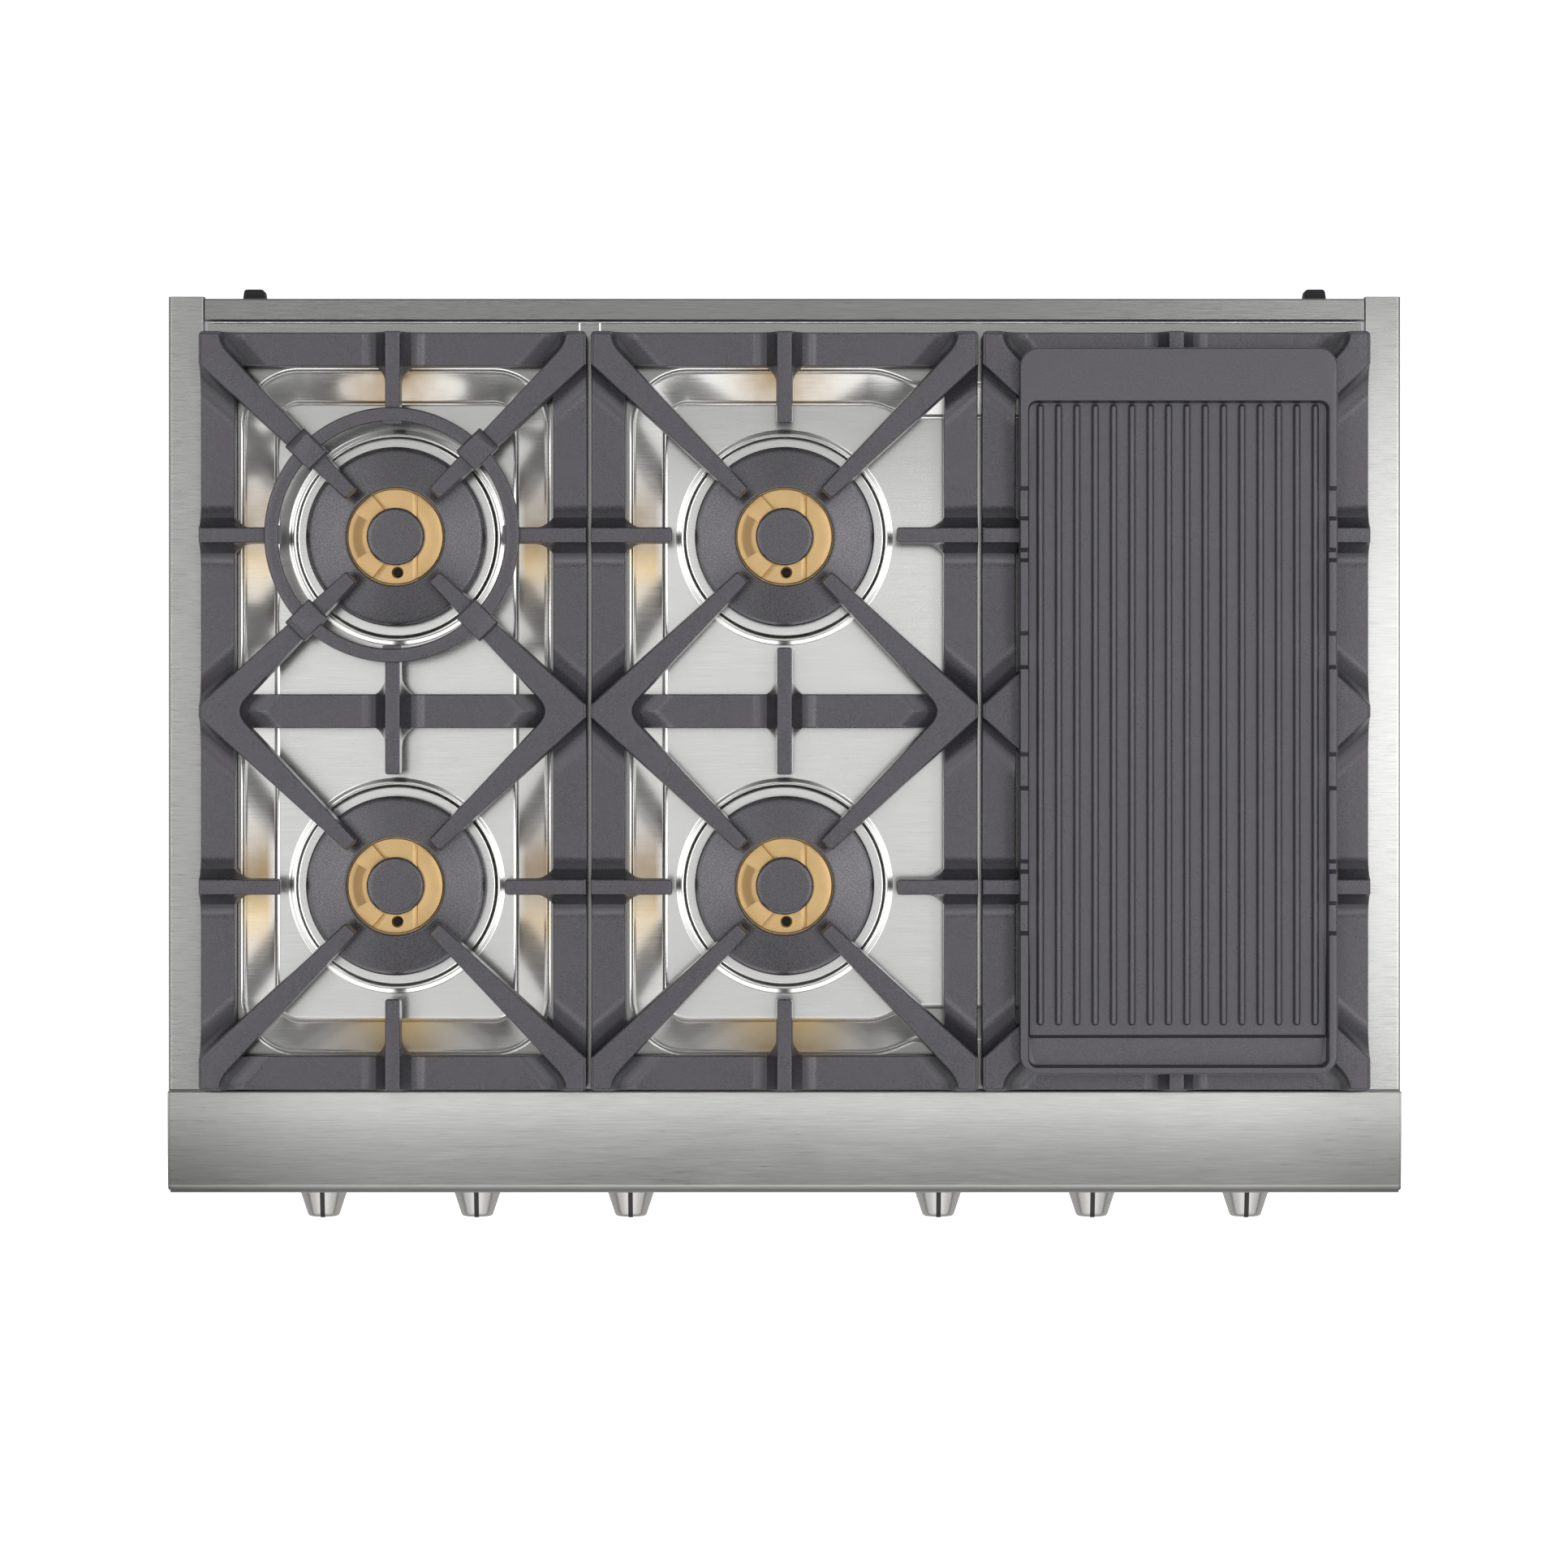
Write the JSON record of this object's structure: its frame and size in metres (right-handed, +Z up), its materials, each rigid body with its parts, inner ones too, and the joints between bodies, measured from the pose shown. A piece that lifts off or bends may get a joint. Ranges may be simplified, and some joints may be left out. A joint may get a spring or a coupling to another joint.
{
  "type": "gas rangetop",
  "caption": "Professional gas rangetop with cast-iron grates over brass-ringed burners, a ribbed griddle plate, a wok ring and front knobs under a stainless bullnose.",
  "frame": {"origin": "middle of the footprint on the underside of the burner box", "axes": "+X to the right as the cook stands, +Y to the back, +Z up"},
  "size_m": [0.9124, 0.692, 0.24],
  "materials": {
    "brushed_steel": "satin stainless, brushed from side to side",
    "pressed_steel": "bright pressed stainless, lightly brushed floor and polished walls",
    "galvanised_steel": "galvanised sheet",
    "cast_iron": "matt porcelain enamel on cast iron, fine sparkle",
    "bumper_rubber": "matt moulded rubber",
    "aluminium": "as cast and drawn",
    "module_plastic": "moulded",
    "burner_brass": "satin machined brass",
    "cap_enamel": "satin dark grey enamel, fine sparkle",
    "igniter_ceramic": "glazed dark ceramic",
    "knob_steel": "turned stainless with a dark pointer"
  },
  "bodies": {
    "chassis": {"left_side_rail": "brushed_steel", "right_side_rail": "brushed_steel", "rear_trim": "brushed_steel", "bullnose": "brushed_steel", "control_panel": "brushed_steel", "left_pan": "pressed_steel", "right_pan": "pressed_steel", "burner_box": "galvanised_steel", "rear_bumper_left": "bumper_rubber", "rear_bumper_right": "bumper_rubber", "gas_manifold": "aluminium", "pressure_regulator": "aluminium", "spark_module": "module_plastic", "burner_base_left_rear": "aluminium", "burner_head_left_rear": "burner_brass", "outer_cap_left_rear": "cap_enamel", "inner_cap_left_rear": "cap_enamel", "igniter_left_rear": "igniter_ceramic", "burner_base_left_front": "aluminium", "burner_head_left_front": "burner_brass", "outer_cap_left_front": "cap_enamel", "inner_cap_left_front": "cap_enamel", "igniter_left_front": "igniter_ceramic", "burner_base_centre_rear": "aluminium", "burner_head_centre_rear": "burner_brass", "outer_cap_centre_rear": "cap_enamel", "inner_cap_centre_rear": "cap_enamel", "igniter_centre_rear": "igniter_ceramic", "burner_base_centre_front": "aluminium", "burner_head_centre_front": "burner_brass", "outer_cap_centre_front": "cap_enamel", "inner_cap_centre_front": "cap_enamel", "igniter_centre_front": "igniter_ceramic", "burner_base_right_rear": "aluminium", "burner_head_right_rear": "burner_brass", "outer_cap_right_rear": "cap_enamel", "inner_cap_right_rear": "cap_enamel", "igniter_right_rear": "igniter_ceramic", "burner_base_right_front": "aluminium", "burner_head_right_front": "burner_brass", "outer_cap_right_front": "cap_enamel", "inner_cap_right_front": "cap_enamel", "igniter_right_front": "igniter_ceramic"},
    "grate_left": {"grate_left": "cast_iron"},
    "grate_centre": {"grate_centre": "cast_iron"},
    "grate_right": {"grate_right": "cast_iron"},
    "griddle_plate": {"griddle_plate": "cast_iron"},
    "wok_ring": {"wok_ring": "cast_iron"},
    "valve_stem_1": {"valve_stem_1": "burner_brass"},
    "knob_1": {"knob_1": "knob_steel"},
    "valve_stem_2": {"valve_stem_2": "burner_brass"},
    "knob_2": {"knob_2": "knob_steel"},
    "valve_stem_3": {"valve_stem_3": "burner_brass"},
    "knob_3": {"knob_3": "knob_steel"},
    "valve_stem_4": {"valve_stem_4": "burner_brass"},
    "knob_4": {"knob_4": "knob_steel"},
    "valve_stem_5": {"valve_stem_5": "burner_brass"},
    "knob_5": {"knob_5": "knob_steel"},
    "valve_stem_6": {"valve_stem_6": "burner_brass"},
    "knob_6": {"knob_6": "knob_steel"}
  },
  "joints": [
    {"name": "grate_left_lift", "type": "slide", "parent": "chassis", "child": "grate_left", "axis": [0, 0, 1], "range_m": [0, 0.1]},
    {"name": "grate_centre_lift", "type": "slide", "parent": "chassis", "child": "grate_centre", "axis": [0, 0, 1], "range_m": [0, 0.1]},
    {"name": "grate_right_lift", "type": "slide", "parent": "chassis", "child": "grate_right", "axis": [0, 0, 1], "range_m": [0, 0.1]},
    {"name": "griddle_plate_lift", "type": "slide", "parent": "grate_right", "child": "griddle_plate", "axis": [0, 0, 1], "range_m": [0, 0.08]},
    {"name": "wok_ring_lift", "type": "slide", "parent": "grate_left", "child": "wok_ring", "axis": [0, 0, 1], "range_m": [0, 0.06]},
    {"name": "valve_1_turn", "type": "hinge", "parent": "chassis", "child": "valve_stem_1", "pos_m": [-0.345, -0.318, 0.116], "axis": [0, -1, 0], "range_deg": [0, 270]},
    {"name": "knob_1_push", "type": "slide", "parent": "valve_stem_1", "child": "knob_1", "axis": [0, 1, 0], "range_m": [0, 0.003], "stiffness_N_per_m": 600},
    {"name": "valve_2_turn", "type": "hinge", "parent": "chassis", "child": "valve_stem_2", "pos_m": [-0.23, -0.318, 0.116], "axis": [0, -1, 0], "range_deg": [0, 270]},
    {"name": "knob_2_push", "type": "slide", "parent": "valve_stem_2", "child": "knob_2", "axis": [0, 1, 0], "range_m": [0, 0.003], "stiffness_N_per_m": 600},
    {"name": "valve_3_turn", "type": "hinge", "parent": "chassis", "child": "valve_stem_3", "pos_m": [-0.115, -0.318, 0.116], "axis": [0, -1, 0], "range_deg": [0, 270]},
    {"name": "knob_3_push", "type": "slide", "parent": "valve_stem_3", "child": "knob_3", "axis": [0, 1, 0], "range_m": [0, 0.003], "stiffness_N_per_m": 600},
    {"name": "valve_4_turn", "type": "hinge", "parent": "chassis", "child": "valve_stem_4", "pos_m": [0.115, -0.318, 0.116], "axis": [0, -1, 0], "range_deg": [0, 270]},
    {"name": "knob_4_push", "type": "slide", "parent": "valve_stem_4", "child": "knob_4", "axis": [0, 1, 0], "range_m": [0, 0.003], "stiffness_N_per_m": 600},
    {"name": "valve_5_turn", "type": "hinge", "parent": "chassis", "child": "valve_stem_5", "pos_m": [0.23, -0.318, 0.116], "axis": [0, -1, 0], "range_deg": [0, 270]},
    {"name": "knob_5_push", "type": "slide", "parent": "valve_stem_5", "child": "knob_5", "axis": [0, 1, 0], "range_m": [0, 0.003], "stiffness_N_per_m": 600},
    {"name": "valve_6_turn", "type": "hinge", "parent": "chassis", "child": "valve_stem_6", "pos_m": [0.345, -0.318, 0.116], "axis": [0, -1, 0], "range_deg": [0, 270]},
    {"name": "knob_6_push", "type": "slide", "parent": "valve_stem_6", "child": "knob_6", "axis": [0, 1, 0], "range_m": [0, 0.003], "stiffness_N_per_m": 600}
  ]
}
